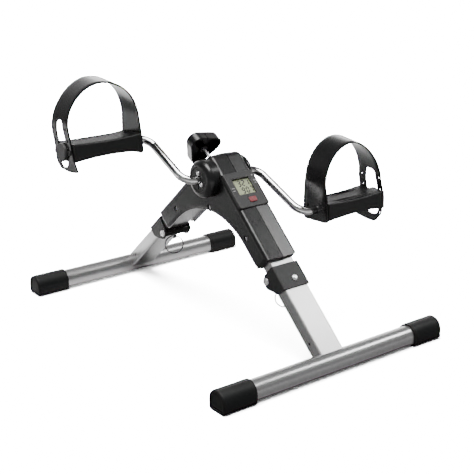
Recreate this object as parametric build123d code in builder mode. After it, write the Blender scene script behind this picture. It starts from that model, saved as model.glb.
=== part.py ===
"""Folding pedal exerciser: two folding legs, a plastic head with a bent crank, two strapped pedals.

Millimetres. +X is the user's right, +Y points away from the user, +Z is up.
The origin is on the floor, under the middle of the machine.
Along a leg, "down" is the distance from the crank axis towards the foot and
"out" is the distance from the crank axis towards the leg's outer face.
"""

from build123d import *
from math import cos, sin, radians
import os

os.makedirs("parts", exist_ok=True)

# ---- stance -------------------------------------------------------------
hub_height = 214.3  # crank axis above the floor
leg_slope = 42.0  # legs fall this steeply, in degrees
foot_out = 11.48  # foot tube centre out of the leg's own line
foot_span = 380.0  # over both end caps

# ---- foot tubes and caps -------------------------------------------------
foot_width = 28.0
foot_height = 25.0
foot_corner = 5.0
foot_wall = 1.3
cap_side = 2.0  # cap wall beside the tube
cap_floor = 2.5  # cap wall under and over the tube
cap_end = 4.0  # cap wall over the tube's end
cap_length = 52.0
cap_corner = 4.5
cap_edge = 2.4
cap_rim = 3.4
cap_dish = 1.2

# ---- leg and stub tubes --------------------------------------------------
tube_width = 40.0
tube_depth = 20.0
tube_wall = 1.5
tube_corner = 2.6
leg_start = 23.2  # from the hinge's pivot down to the leg tube's upper end
leg_short = 7.6  # the leg tube stops this far before the foot tube's centre
drain_radius = 2.0
drain_above_foot = 31.6
drain_out = 10.0

# ---- hinge ---------------------------------------------------------------
pivot_below_arm = 17.0  # from the housing's end down to the pivot
pivot_out = -3.0
stub_slack = 0.3  # between stub tube and bracket plate
barrel_radius = 6.0
rivet_radius = 3.0
rivet_head = 5.4
rivet_head_height = 2.4
rivet_dimple = 2.0
running = 0.05  # radial running clearance
bracket_over = 8.6  # bracket above the pivot
bracket_under = 27.6  # bracket below the pivot
bracket_plate = 2.5
bracket_slack = 0.5  # between the ears and the tubes
bracket_bend = 3.0
bracket_nose = 7.5
bracket_round = 7.0
ear_top_lean = 5.0
ear_top_drop = 6.0
ear_tip_lean = 7.0
ear_foot_lean = 1.6
ear_foot_out = 5.0
stub_start = 8.0
rail_thickness = 2.0
rail_start = 60.0
rail_top = 0.6  # out of the leg, just under the screw posts
rail_slack = 0.2

# ---- locking pin and ring ------------------------------------------------
pin_below_pivot = 15.0
pin_across = 3.0
pin_radius = 4.5
pin_tail_radius = 3.2
pin_tail_out = 0.5
pin_tip_out = -9.5
pin_dome = 2.6
sleeve_radius = 6.2
sleeve_foot = 1.6
slot_slack = 0.7
ring_radius = 14.1
ring_wire = 0.9
ring_hole = 1.8
ring_hole_out = -5.8
ring_turn = 30.0

# ---- housing -------------------------------------------------------------
head_radius = 26.8
crown_radius = 12.0  # the rounding where the two arms meet over the crank
half_width = 27.0
wall = 2.5
mould_draft = 3.0
arm_length = 156.0
arch_top = 162.8
arch_radius = 120.0
arm_corner = 12.0
outer_edge = 6.0
mouth_slack = 0.3
mouth_low = -8.0
boss_radius = 27.2
boss_end = 45.0
boss_recess = 2.8
boss_rim = 9.4
boss_lip = 8.5
collar_radius = 25.0
collar_height = 6.8
collar_lip = 4.6
crank_opening = 8.5

# ---- housing screws ------------------------------------------------------
screw_radius = 2.0
screw_head = 3.6
screw_head_height = 2.4
screw_sink = 1.6  # head below the shell's face
screw_post = 6.0
arm_screw_down = 108.0
arm_screw_out = 7.0
low_screw_height = 170.5

# ---- bearings and crank --------------------------------------------------
hub_radius = 17.0
hub_bore = 14.5
bush_length = 14.5
plate_radius = 17.3
plate_thickness = 2.4
plate_slit = 2.0
bolt_reach = 9.9
bolt_head = 3.0
bolt_head_height = 2.6
bolt_shank = 1.8
bolt_count = 3
bolt_start = 95.0
rod_radius = 6.0
crank_radius = 103.0
crank_angle = 26.8
crank_bend = 20.0
left_corner_hub = 67.0
left_corner_pedal = 69.0
right_corner_hub = 58.0
right_corner_pedal = 66.0
drum_radius = 12.0
drum_half_length = 9.0
collar_length = 3.5  # thrust collar on the rod
collar_gap = 0.5
thrust_radius = 10.0
magnet_radius = 2.2
magnet_length = 3.0
magnet_reach = 8.8
sensor_size = 4.0
sensor_gap = 0.6
sensor_inner = 6.9

# ---- tension knob --------------------------------------------------------
knob_slope = 29.0
knob_base = 55.8  # underside of the knob from the crank axis
knob_thickness = 16.0
knob_lobes = 3
knob_lobe_radius = 13.0
knob_lobe_reach = 16.0
knob_edge = 3.4
knob_turned = 100.0
knob_hollow = 9.0  # depth of the open underside
knob_skirt = 2.6
knob_post_radius = 6.0
tension_rod_radius = 2.5
tension_rod_tip = 20.5
nut_radius = 9.0
nut_top = 30.5
shoe_radius = 6.5
shoe_gap = 1.6  # released gap between shoe and drum
shoe_slack = 0.2

# ---- monitor -------------------------------------------------------------
monitor_top = 15.0  # nearest the crank axis, measured down the leg
monitor_length = 58.0
monitor_half_width = 25.3
monitor_base_out = 19.7
monitor_face_out = 28.4
monitor_wall = 2.0
monitor_corner = 3.5
monitor_edge = 1.2
monitor_slack = 0.3
screen_half_width = 15.8
screen_from_top = 8.5
screen_length = 28.8
screen_margin = 1.5
window_thickness = 0.8
panel_thickness = 2.0
board_thickness = 1.2
board_half_width = 22.0
board_margin = 0.4
battery_radius = 5.8
battery_across = 15.0
battery_from_end = 9.5
battery_slack = 0.4
button_across = 1.5
button_from_end = 11.2
button_width = 12.2
button_height = 8.2
button_corner = 1.6
button_proud = 1.2
button_slack = 0.3
button_flange = 1.0
button_flange_thickness = 1.3
button_gap = 0.1

# ---- pedals --------------------------------------------------------------
strap_inner = 92.3  # inner face of the strap from the middle
strap_outer = 204.0
strap_thickness = 2.5
strap_half_width = 21.5
limb_half_width = 25.0
inner_half_width = 26.0
strap_arch_height = 37.5
strap_foot = -16.0
slot_half_width = 12.0
slot_top = 46.0
slot_bottom = -22.0
slot_corner = 9.0
peg_across = 18.5
hole_pitch = 15.6
hole_radius = 1.8
peg_radius = 1.8
peg_head = 3.4
peg_head_height = 1.6
inner_peg_head = 3.0
tail_flare = 18.0
tail_waist = -10.0
tail_step = 1.0
tail_heel = 12.0
tail_round = 3.0
inner_peg_height = 4.0
tail_tip_across = 31.0
tail_tip = -30.0
tail_bottom = -33.0
pedal_half_depth = 27.5
pedal_top = 12.2
pedal_bottom = -12.8
pedal_saddle = 2.6
pedal_arch = 3.0
pedal_wall = 3.0
pedal_ceiling = 6.0
pedal_tube = 9.5
pedal_edge = 2.0
rib_count = 11
rib_pitch = 4.4
rib_width = 2.2
rib_height = 0.8
rib_margin = 4.0
stiffener_places = (131.0, 165.0)
stiffener_width = 2.5
left_tilt = 6.0
right_tilt = 4.0
spindle_cap_radius = 12.6
spindle_cap_gap = 0.4
spindle_cap_thickness = 4.1
spindle_cap_bore = 2.0
spindle_opening = 6.4
spindle_cap_edge = 1.4
battery_thickness = 5.2

# ---- derived -------------------------------------------------------------
down_y = cos(radians(leg_slope))
down_z = sin(radians(leg_slope))
foot_lift = cap_floor
foot_middle = hub_height - foot_lift - foot_height / 2
foot_reach = (foot_out + down_y * foot_middle) / down_z
foot_down = foot_reach * down_y + foot_middle * down_z
pivot_down = arm_length + pivot_below_arm
pin_down = pivot_down + pin_below_pivot
slot_start = pin_down - sleeve_radius - slot_slack
leg_top = pivot_down + leg_start
leg_sunk = foot_down - leg_short
bracket_top = pivot_down - bracket_over
bracket_bottom = pivot_down + bracket_under
bracket_half = tube_width / 2 + bracket_slack
stub_out = tube_depth - stub_slack
stub_end_radius = stub_out - pivot_out
housing_skin = half_width - wall
arch_centre = arch_top - arch_radius - hub_height
arm_inner_out = (arch_top - arch_radius - hub_height) * down_y + arch_radius
plate_seat = boss_end - boss_recess
rail_depth = rail_top - arm_inner_out - wall
rail_width = 2 * (housing_skin - rail_slack)
spindle_y = crank_radius * cos(radians(crank_angle))
spindle_z = crank_radius * sin(radians(crank_angle))
rod_end = strap_outer + spindle_cap_gap + spindle_cap_thickness - spindle_cap_bore
sides = {"front": -1, "rear": 1}
hands = {"left": -1, "right": 1}


def leg_plane(side):
    """Side view of one leg: local x runs down the leg, local y out of its outer face."""
    return Plane(origin=(0, 0, hub_height), x_dir=(0, side * down_y, -down_z), z_dir=(side, 0, 0))


def face_plane(side, out):
    """Parallel to a leg's outer face: local x runs across, local y down the leg."""
    normal = Vector(0, side * down_z, down_y)
    return Plane(origin=Vector(0, 0, hub_height) + normal * out, x_dir=(side, 0, 0), z_dir=normal)


def leg_point(side, down, out):
    """Height and depth of a point given down a leg and out of it, as a (y, z) pair."""
    return (side * (down * down_y + out * down_z), hub_height - down * down_z + out * down_y)


def pedal_plane(hand):
    """Pedal seen along its depth: local x runs out along the spindle, local y up through the strap."""
    tilt = radians(left_tilt if hand < 0 else right_tilt)
    centre = (0, -hand * spindle_y, hub_height - hand * spindle_z)
    return Plane(origin=centre, x_dir=(hand, 0, 0), z_dir=(0, -hand * cos(tilt), hand * sin(tilt)))


def limb_plane(hand, reach):
    """Across the spindle at some reach: local x runs towards the strap's tail tip, local y up."""
    flat = pedal_plane(hand)
    centre = flat.origin + flat.x_dir * reach
    return Plane(origin=centre, x_dir=-flat.z_dir, z_dir=flat.x_dir)


def section_plane(side, down):
    """Square across a leg: local x runs across, local y out of the leg's outer face."""
    return Plane(
        origin=(0, *leg_point(side, down, 0)),
        x_dir=(-side, 0, 0),
        z_dir=(0, side * down_y, -down_z),
    )


def knob_plane(reach):
    """Square across the knob's screw, some way out from the crank axis."""
    axis = Vector(0, cos(radians(knob_slope)), sin(radians(knob_slope)))
    return Plane(origin=Vector(0, 0, hub_height) + axis * reach, x_dir=(1, 0, 0), z_dir=axis)


def across_plane(x):
    """Side view plane through a given x, centred on the crank axis: local x is +Y, local y is +Z."""
    return Plane(origin=(x, 0, hub_height), x_dir=(0, 1, 0), z_dir=(1, 0, 0))


def side_place(side, down, out):
    """Place in a side view centred on the crank axis, given down a leg and out of it."""
    across, height = leg_point(side, down, out)
    return (across, height - hub_height)


def outward(point):
    """How far out of the nearer leg's axis a point lies."""
    return abs(point.Y) * down_z + (point.Z - hub_height) * down_y


def housing_outline(head, length, drop):
    """Draws the A shape of the housing: round head, two arms, and an arch between them."""
    arch = arch_radius - drop
    low = arm_inner_out - drop
    tangent = -arch_centre * down_z
    crown = crown_radius - head_radius + head
    crown_rise = (head - crown) / down_y
    start = -crown_rise * down_z
    with BuildLine() as outline:
        ThreePointArc(side_place(-1, start, head), (0, crown_rise + crown), side_place(1, start, head))
        for side in sides.values():
            Line(side_place(side, start, head), side_place(side, length, head))
            Line(side_place(side, length, head), side_place(side, length, low))
            Line(side_place(side, length, low), side_place(side, tangent, low))
        ThreePointArc(
            side_place(-1, tangent, low),
            (0, arch_centre + arch),
            side_place(1, tangent, low),
        )
    make_face(outline.edges())


def foot_outline(half, low, high, corner):
    """Draws the D section of a foot: flat floor with rounded corners and a domed top."""
    spring = high - half
    with BuildLine() as outline:
        Line((-half, spring), (-half, low))
        Line((-half, low), (half, low))
        Line((half, low), (half, spring))
        ThreePointArc((half, spring), (0, high), (-half, spring))
    make_face(outline.edges())
    floor_corners = vertices().group_by(Axis.Y)[0]
    fillet(floor_corners, corner)


screw_places = [
    side_place(-1, arm_screw_down, arm_screw_out),
    side_place(1, arm_screw_down, arm_screw_out),
    (0, low_screw_height - hub_height),
]


# ---- legs: one set for the front, one for the rear -----------------------
for place, side in sides.items():
    foot_plane = Plane(origin=(0, side * foot_reach, 0), x_dir=(0, 1, 0), z_dir=(1, 0, 0))
    foot_top = foot_lift + foot_height
    tube_half = foot_width / 2
    cap_half = tube_half + cap_side
    side_view = leg_plane(side)

    with BuildPart() as foot_tube:
        with BuildSketch(foot_plane):
            foot_outline(tube_half, foot_lift, foot_top, foot_corner)
            offset(amount=-foot_wall, mode=Mode.SUBTRACT)
        extrude(amount=foot_span / 2 - cap_end, both=True)
    foot_tube.part.label = f"{place}_foot_tube"
    export_step(foot_tube.part, f"parts/{place}_foot_tube.step")

    for name, hand in hands.items():
        end_plane = foot_plane.offset(hand * foot_span / 2)
        with BuildPart() as cap:
            with BuildSketch(end_plane):
                foot_outline(cap_half, 0, foot_top + cap_floor, cap_corner)
            extrude(amount=-hand * cap_length)
            end_face = faces().sort_by(Axis.X)[-1 if hand > 0 else 0]
            fillet(end_face.edges(), cap_edge)
            with BuildSketch(end_plane):
                foot_outline(cap_half - cap_rim, cap_rim, foot_top + cap_floor - cap_rim, cap_edge)
            extrude(amount=-hand * cap_dish, mode=Mode.SUBTRACT)
            with BuildSketch(end_plane.offset(-hand * cap_length)):
                foot_outline(tube_half, foot_lift, foot_top, foot_corner)
            extrude(amount=hand * (cap_length - cap_end), mode=Mode.SUBTRACT)
        cap.part.label = f"{place}_{name}_cap"
        export_step(cap.part, f"parts/{place}_{name}_cap.step")

    with BuildPart() as leg_tube:
        with BuildSketch(section_plane(side, leg_top)):
            with Locations((0, tube_depth / 2)):
                RectangleRounded(tube_width, tube_depth, tube_corner)
                inner_width = tube_width - 2 * tube_wall
                inner_depth = tube_depth - 2 * tube_wall
                RectangleRounded(inner_width, inner_depth, tube_corner - tube_wall, mode=Mode.SUBTRACT)
        extrude(amount=leg_sunk - leg_top)
        with BuildSketch(foot_plane):
            foot_outline(tube_half, foot_lift, foot_top, foot_corner)
        extrude(amount=tube_width, both=True, mode=Mode.SUBTRACT)
        with BuildSketch(side_view):
            with Locations((foot_down - drain_above_foot, drain_out)):
                Circle(drain_radius)
        extrude(amount=-side * tube_width, mode=Mode.SUBTRACT)
    leg_tube.part.label = f"{place}_leg_tube"
    export_step(leg_tube.part, f"parts/{place}_leg_tube.step")

    with BuildPart() as bracket:
        with BuildSketch(side_view):
            with BuildLine():
                Polyline(
                    (bracket_top, tube_depth + bracket_plate),
                    (bracket_top, 0),
                    (pivot_down - ear_top_lean, pivot_out - ear_top_drop),
                    (pivot_down + ear_tip_lean, pivot_out - bracket_nose),
                    (bracket_bottom - ear_foot_lean, ear_foot_out),
                    (bracket_bottom, tube_depth + bracket_plate),
                    close=True,
                )
            make_face()
            ear_corners = vertices().filter_by(lambda v: v.Y < tube_depth)
            fillet(ear_corners, bracket_round)
        extrude(amount=bracket_half + bracket_plate, both=True)
        long_edges = edges().filter_by(lambda e: e.length > bracket_under)
        fillet(long_edges.filter_by(Axis((0, 0, 0), (0, side * down_y, -down_z))), bracket_bend)
        with BuildSketch(side_view):
            with Locations((pivot_down, tube_depth - 2 * tube_width)):
                Rectangle(4 * tube_width, 4 * tube_width)
        extrude(amount=bracket_half, both=True, mode=Mode.SUBTRACT)
        with BuildSketch(side_view):
            with Locations((pivot_down, pivot_out)):
                Circle(rivet_radius)
        extrude(amount=tube_width, both=True, mode=Mode.SUBTRACT)
        with BuildSketch(face_plane(side, tube_depth)):
            with Locations((side * pin_across, pin_down)):
                Circle(pin_radius + running)
        extrude(amount=tube_depth, mode=Mode.SUBTRACT)
    bracket.part.label = f"{place}_hinge_bracket"
    export_step(bracket.part, f"parts/{place}_hinge_bracket.step")

    with BuildPart() as rivet:
        ear_face = bracket_half + bracket_plate
        with BuildSketch(side_view):
            with Locations((pivot_down, pivot_out)):
                Circle(rivet_radius)
        extrude(amount=ear_face, both=True)
        with BuildSketch(side_view.offset(ear_face), side_view.offset(-ear_face - rivet_head_height)):
            with Locations((pivot_down, pivot_out)):
                Circle(rivet_head)
        extrude(amount=rivet_head_height)
        fillet(faces().sort_by(Axis.X)[-1].edges(), rivet_head_height * 0.7)
        fillet(faces().sort_by(Axis.X)[0].edges(), rivet_head_height * 0.7)
        with BuildSketch(side_view.offset(ear_face + rivet_head_height / 2)):
            with Locations((pivot_down, pivot_out)):
                Circle(rivet_dimple)
        extrude(amount=rivet_head_height, mode=Mode.SUBTRACT)
        with BuildSketch(side_view.offset(-ear_face - rivet_head_height / 2)):
            with Locations((pivot_down, pivot_out)):
                Circle(rivet_dimple)
        extrude(amount=-rivet_head_height, mode=Mode.SUBTRACT)
    rivet.part.label = f"{place}_hinge_rivet"
    export_step(rivet.part, f"parts/{place}_hinge_rivet.step")

    with BuildPart() as sleeve:
        with BuildSketch(face_plane(side, sleeve_foot)):
            with Locations((side * pin_across, pin_down)):
                Circle(sleeve_radius)
                Circle(pin_radius + running, mode=Mode.SUBTRACT)
        extrude(amount=tube_depth - sleeve_foot)
    sleeve.part.label = f"{place}_pin_sleeve"
    export_step(sleeve.part, f"parts/{place}_pin_sleeve.step")

    lock_place = (side * pin_across, pin_down)
    hole_centre = Vector(pin_across, *leg_point(side, pin_down, ring_hole_out))
    turned = radians(ring_turn)
    ring_tangent = Vector(cos(turned), -sin(turned), 0)
    with BuildPart() as lock_pin:
        with BuildSketch(face_plane(side, pin_tail_out)):
            with Locations(lock_place):
                Circle(pin_radius)
        extrude(amount=tube_depth + bracket_plate + pin_dome - pin_tail_out)
        pin_top = faces().sort_by(Axis((0, 0, 0), face_plane(side, 0).z_dir))[-1]
        fillet(pin_top.edges(), pin_dome)
        with BuildSketch(face_plane(side, pin_tip_out)):
            with Locations(lock_place):
                Circle(pin_tail_radius)
        extrude(amount=pin_tail_out - pin_tip_out)
        with BuildSketch(Plane(origin=hole_centre, z_dir=ring_tangent)):
            Circle(ring_hole)
        extrude(amount=2 * pin_tail_radius, both=True, mode=Mode.SUBTRACT)
    lock_pin.part.label = f"{place}_lock_pin"
    export_step(lock_pin.part, f"parts/{place}_lock_pin.step")

    ring_centre = hole_centre - Vector(0, 0, ring_radius)
    ring_face = Plane(origin=ring_centre, x_dir=ring_tangent, z_dir=(-sin(turned), -cos(turned), 0))
    with BuildPart(ring_face) as ring:
        Torus(ring_radius, ring_wire)
    ring.part.label = f"{place}_pull_ring"
    export_step(ring.part, f"parts/{place}_pull_ring.step")

    with BuildPart() as barrel:
        with BuildSketch(side_view):
            with Locations((pivot_down, pivot_out)):
                Circle(barrel_radius)
                Circle(rivet_radius + running, mode=Mode.SUBTRACT)
        extrude(amount=bracket_half - mouth_slack, both=True)
    barrel.part.label = f"{place}_hinge_barrel"
    export_step(barrel.part, f"parts/{place}_hinge_barrel.step")

    with BuildPart() as stub:
        with BuildSketch(section_plane(side, rail_start)):
            with Locations((0, rail_top - rail_depth / 2)):
                Rectangle(rail_width, rail_depth)
            with Locations((0, rail_top - rail_thickness - rail_depth)):
                Rectangle(rail_width - 2 * rail_thickness, 2 * rail_depth, mode=Mode.SUBTRACT)
        extrude(amount=arm_length - 2 * wall - rail_start)
        with BuildSketch(across_plane(0)):
            with Locations((0, arch_centre)):
                Circle(arch_radius + wall)
        extrude(amount=half_width, both=True, mode=Mode.SUBTRACT)
        with BuildSketch(section_plane(side, stub_start)):
            with Locations((0, stub_out / 2)):
                RectangleRounded(tube_width, stub_out, tube_corner)
                inner_width = tube_width - 2 * tube_wall
                inner_depth = stub_out - 2 * tube_wall
                RectangleRounded(inner_width, inner_depth, tube_corner - tube_wall, mode=Mode.SUBTRACT)
        extrude(amount=pivot_down + stub_end_radius - stub_start)
        with BuildSketch(side_view):
            with Locations((pivot_down + 2 * tube_width, tube_depth / 2)):
                Rectangle(4 * tube_width, 4 * tube_width)
            with Locations((pivot_down, pivot_out)):
                Circle(stub_end_radius, mode=Mode.SUBTRACT)
        extrude(amount=tube_width, both=True, mode=Mode.SUBTRACT)
        with BuildSketch(side_view):
            Circle(hub_radius)
            with Locations((pivot_down, pivot_out)):
                Circle(barrel_radius)
            with Locations((arm_screw_down, arm_screw_out)):
                Circle(screw_radius + mouth_slack)
        extrude(amount=tube_width, both=True, mode=Mode.SUBTRACT)
        with BuildSketch(face_plane(side, -1)):
            with Locations((side * pin_across, slot_start + tube_width / 2)):
                Rectangle(2 * (sleeve_radius + slot_slack), tube_width)
        extrude(amount=2 * tube_depth, mode=Mode.SUBTRACT)
        with BuildSketch(knob_plane(0)):
            Circle(nut_radius)
        extrude(amount=nut_top, mode=Mode.SUBTRACT)
    stub.part.label = f"{place}_stub"
    export_step(stub.part, f"parts/{place}_stub.step")


# ---- housing halves ------------------------------------------------------
for name, hand in hands.items():
    seam = across_plane(0)
    pocket = face_plane(sides["front"], monitor_base_out)
    with BuildPart() as shell:
        with BuildSketch(seam):
            housing_outline(head_radius, arm_length, 0)
            fillet(vertices().group_by(Axis.Y)[0], arm_corner)
        extrude(amount=hand * half_width, taper=mould_draft)
        side_face = faces().sort_by(Axis.X)[-1 if hand > 0 else 0]
        fillet(side_face.edges().filter_by(lambda e: outward(e.center()) > head_radius / 2), outer_edge)
        with BuildSketch(seam):
            housing_outline(head_radius - wall, arm_length - wall, 2 * wall)
        extrude(amount=hand * housing_skin, taper=mould_draft, mode=Mode.SUBTRACT)
        for side in sides.values():
            with BuildSketch(face_plane(side, mouth_low)):
                with Locations((0, arm_length)):
                    Rectangle(tube_width + 2 * mouth_slack, 4 * wall)
            extrude(amount=stub_out + mouth_slack - mouth_low, mode=Mode.SUBTRACT)
            with BuildSketch(across_plane(hand * tube_width / 2)):
                with Locations(side_place(side, arm_screw_down, arm_screw_out)):
                    Circle(screw_post)
            extrude(amount=hand * (half_width - wall / 2 - tube_width / 2))
        with BuildSketch(across_plane(0)):
            with Locations((0, low_screw_height - hub_height)):
                Circle(screw_post)
        extrude(amount=hand * (half_width - wall / 2))
        if hand < 0:
            with BuildSketch(across_plane(-housing_skin)):
                Circle(boss_radius)
            extrude(amount=housing_skin - boss_end)
            fillet(faces().sort_by(Axis.X)[0].edges(), boss_lip)
            with BuildSketch(across_plane(-boss_end)):
                Circle(boss_radius - boss_rim)
            extrude(amount=boss_recess, mode=Mode.SUBTRACT)
            with BuildSketch(across_plane(-boss_end)):
                Circle(hub_radius)
            extrude(amount=boss_end - housing_skin + wall, mode=Mode.SUBTRACT)
        else:
            with BuildSketch(across_plane(half_width)):
                Circle(collar_radius)
            extrude(amount=collar_height)
            fillet(faces().sort_by(Axis.X)[-1].edges(), collar_lip)
            with BuildSketch(across_plane(housing_skin)):
                Circle(crank_opening)
            extrude(amount=2 * wall + collar_height, mode=Mode.SUBTRACT)
        with BuildSketch(pocket):
            with Locations((0, monitor_top + monitor_length / 2)):
                Rectangle(
                    2 * (monitor_half_width + monitor_slack),
                    monitor_length + 2 * monitor_slack,
                )
        extrude(amount=tube_depth, mode=Mode.SUBTRACT)
        with BuildSketch(across_plane(0)):
            with Locations(*screw_places):
                Circle(screw_radius)
        extrude(amount=hand * (half_width - 3 if hand > 0 else half_width + 1), mode=Mode.SUBTRACT)
        if hand < 0:
            with BuildSketch(across_plane(-half_width)):
                with Locations(*screw_places):
                    Circle(screw_head + mouth_slack)
            extrude(amount=screw_sink + screw_head_height, mode=Mode.SUBTRACT)
        with BuildSketch(knob_plane(0)):
            Circle(nut_radius)
        extrude(amount=nut_top, mode=Mode.SUBTRACT)
    shell.part.label = f"{name}_housing"
    export_step(shell.part, f"parts/{name}_housing.step")

with BuildPart() as housing_screws:
    seat = -half_width + screw_sink + screw_head_height
    with BuildSketch(across_plane(seat)):
        with Locations(*screw_places):
            Circle(screw_head)
    extrude(amount=-screw_head_height)
    fillet(faces().group_by(Axis.X)[0].edges(), screw_head_height / 2)
    with BuildSketch(across_plane(seat - screw_head_height)):
        with Locations(*screw_places):
            Rectangle(screw_head, screw_head / 4)
            Rectangle(screw_head / 4, screw_head)
    extrude(amount=screw_head_height / 2, mode=Mode.SUBTRACT)
    with BuildSketch(across_plane(seat)):
        with Locations(*screw_places):
            Circle(screw_radius)
    extrude(amount=half_width - 4 - seat)
housing_screws.part.label = "housing_screws"
export_step(housing_screws.part, "parts/housing_screws.step")


# ---- hub, bearings and crank ---------------------------------------------
with BuildPart() as hub_tube:
    with BuildSketch(across_plane(-plate_seat)):
        Circle(hub_radius)
        Circle(hub_bore, mode=Mode.SUBTRACT)
    extrude(amount=plate_seat + housing_skin)
    with BuildSketch(knob_plane(0)):
        Circle(shoe_radius + shoe_slack)
    extrude(amount=nut_top, mode=Mode.SUBTRACT)
hub_tube.part.label = "hub_tube"
export_step(hub_tube.part, "parts/hub_tube.step")

with BuildPart() as left_bush:
    with BuildSketch(across_plane(-plate_seat)):
        Circle(hub_bore)
        Circle(rod_radius + running, mode=Mode.SUBTRACT)
        with PolarLocations(bolt_reach, bolt_count, start_angle=bolt_start):
            Circle(bolt_shank, mode=Mode.SUBTRACT)
    extrude(amount=bush_length)
left_bush.part.label = "left_bush"
export_step(left_bush.part, "parts/left_bush.step")

with BuildPart() as right_bush:
    with BuildSketch(across_plane(housing_skin)):
        Circle(hub_bore)
        Circle(rod_radius + running, mode=Mode.SUBTRACT)
    extrude(amount=-bush_length)
right_bush.part.label = "right_bush"
export_step(right_bush.part, "parts/right_bush.step")

with BuildPart() as bearing_plate:
    with BuildSketch(across_plane(-plate_seat)):
        Circle(plate_radius)
        Circle(rod_radius + bracket_slack, mode=Mode.SUBTRACT)
        with Locations((0, -plate_radius * 0.55)):
            Rectangle(plate_slit, plate_radius * 0.6, mode=Mode.SUBTRACT)
        with PolarLocations(bolt_reach, bolt_count, start_angle=bolt_start):
            Circle(bolt_shank, mode=Mode.SUBTRACT)
    extrude(amount=-plate_thickness)
bearing_plate.part.label = "bearing_plate"
export_step(bearing_plate.part, "parts/bearing_plate.step")

with BuildPart() as bearing_bolts:
    outer_face = -plate_seat - plate_thickness
    with BuildSketch(across_plane(outer_face)):
        with PolarLocations(bolt_reach, bolt_count, start_angle=bolt_start):
            Circle(bolt_head)
    extrude(amount=-bolt_head_height)
    fillet(faces().group_by(Axis.X)[0].edges(), bolt_head_height / 2)
    with BuildSketch(across_plane(outer_face)):
        with PolarLocations(bolt_reach, bolt_count, start_angle=bolt_start):
            Circle(bolt_shank)
    extrude(amount=bush_length)
bearing_bolts.part.label = "bearing_bolts"
export_step(bearing_bolts.part, "parts/bearing_bolts.step")

slope = radians(crank_angle)
crank_view = Plane(origin=(0, 0, hub_height), x_dir=(1, 0, 0), z_dir=(0, -sin(slope), cos(slope)))
with BuildPart() as crank_rod:
    with BuildLine(crank_view) as rod_line:
        FilletPolyline(
            (-rod_end, crank_radius),
            (-left_corner_pedal, crank_radius),
            (-left_corner_hub, 0),
            (right_corner_hub, 0),
            (right_corner_pedal, -crank_radius),
            (rod_end, -crank_radius),
            radius=crank_bend,
        )
    with BuildSketch(Plane(origin=rod_line.line @ 0, z_dir=rod_line.line % 0)):
        Circle(rod_radius)
    sweep()
crank_rod.part.label = "crank_rod"
export_step(crank_rod.part, "parts/crank_rod.step")

with BuildPart() as brake_drum:
    with BuildSketch(across_plane(-drum_half_length)):
        Circle(drum_radius)
        Circle(rod_radius, mode=Mode.SUBTRACT)
    extrude(amount=2 * drum_half_length)
brake_drum.part.label = "brake_drum"
export_step(brake_drum.part, "parts/brake_drum.step")

with BuildPart() as thrust_collar:
    with BuildSketch(across_plane(-plate_seat + bush_length + collar_gap)):
        Circle(thrust_radius)
        Circle(rod_radius, mode=Mode.SUBTRACT)
    extrude(amount=collar_length)
thrust_collar.part.label = "thrust_collar"
export_step(thrust_collar.part, "parts/thrust_collar.step")

with BuildPart() as sensor_magnet:
    with BuildSketch(across_plane(-drum_half_length)):
        with Locations((magnet_reach, 0)):
            Circle(magnet_radius)
    extrude(amount=-magnet_length)
sensor_magnet.part.label = "sensor_magnet"
export_step(sensor_magnet.part, "parts/sensor_magnet.step")

with BuildPart() as reed_sensor:
    with BuildSketch(across_plane(-drum_half_length - magnet_length - sensor_gap)):
        Circle(hub_bore)
        with Locations((0, -sensor_inner - hub_radius / 2)):
            Rectangle(sensor_size, hub_radius, mode=Mode.INTERSECT)
    extrude(amount=-sensor_size)
reed_sensor.part.label = "reed_sensor"
export_step(reed_sensor.part, "parts/reed_sensor.step")

for name, hand in hands.items():
    with BuildPart() as spindle_cap:
        with BuildSketch(across_plane(hand * (strap_outer + spindle_cap_gap))):
            with Locations((-hand * spindle_y, -hand * spindle_z)):
                Circle(spindle_cap_radius)
        extrude(amount=hand * spindle_cap_thickness)
        fillet(faces().sort_by(Axis.X)[-1 if hand > 0 else 0].edges(), spindle_cap_edge)
        with BuildSketch(across_plane(hand * (strap_outer + spindle_cap_gap))):
            with Locations((-hand * spindle_y, -hand * spindle_z)):
                Circle(rod_radius)
        extrude(amount=hand * (rod_end - strap_outer - spindle_cap_gap), mode=Mode.SUBTRACT)
    spindle_cap.part.label = f"{name}_spindle_cap"
    export_step(spindle_cap.part, f"parts/{name}_spindle_cap.step")


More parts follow.
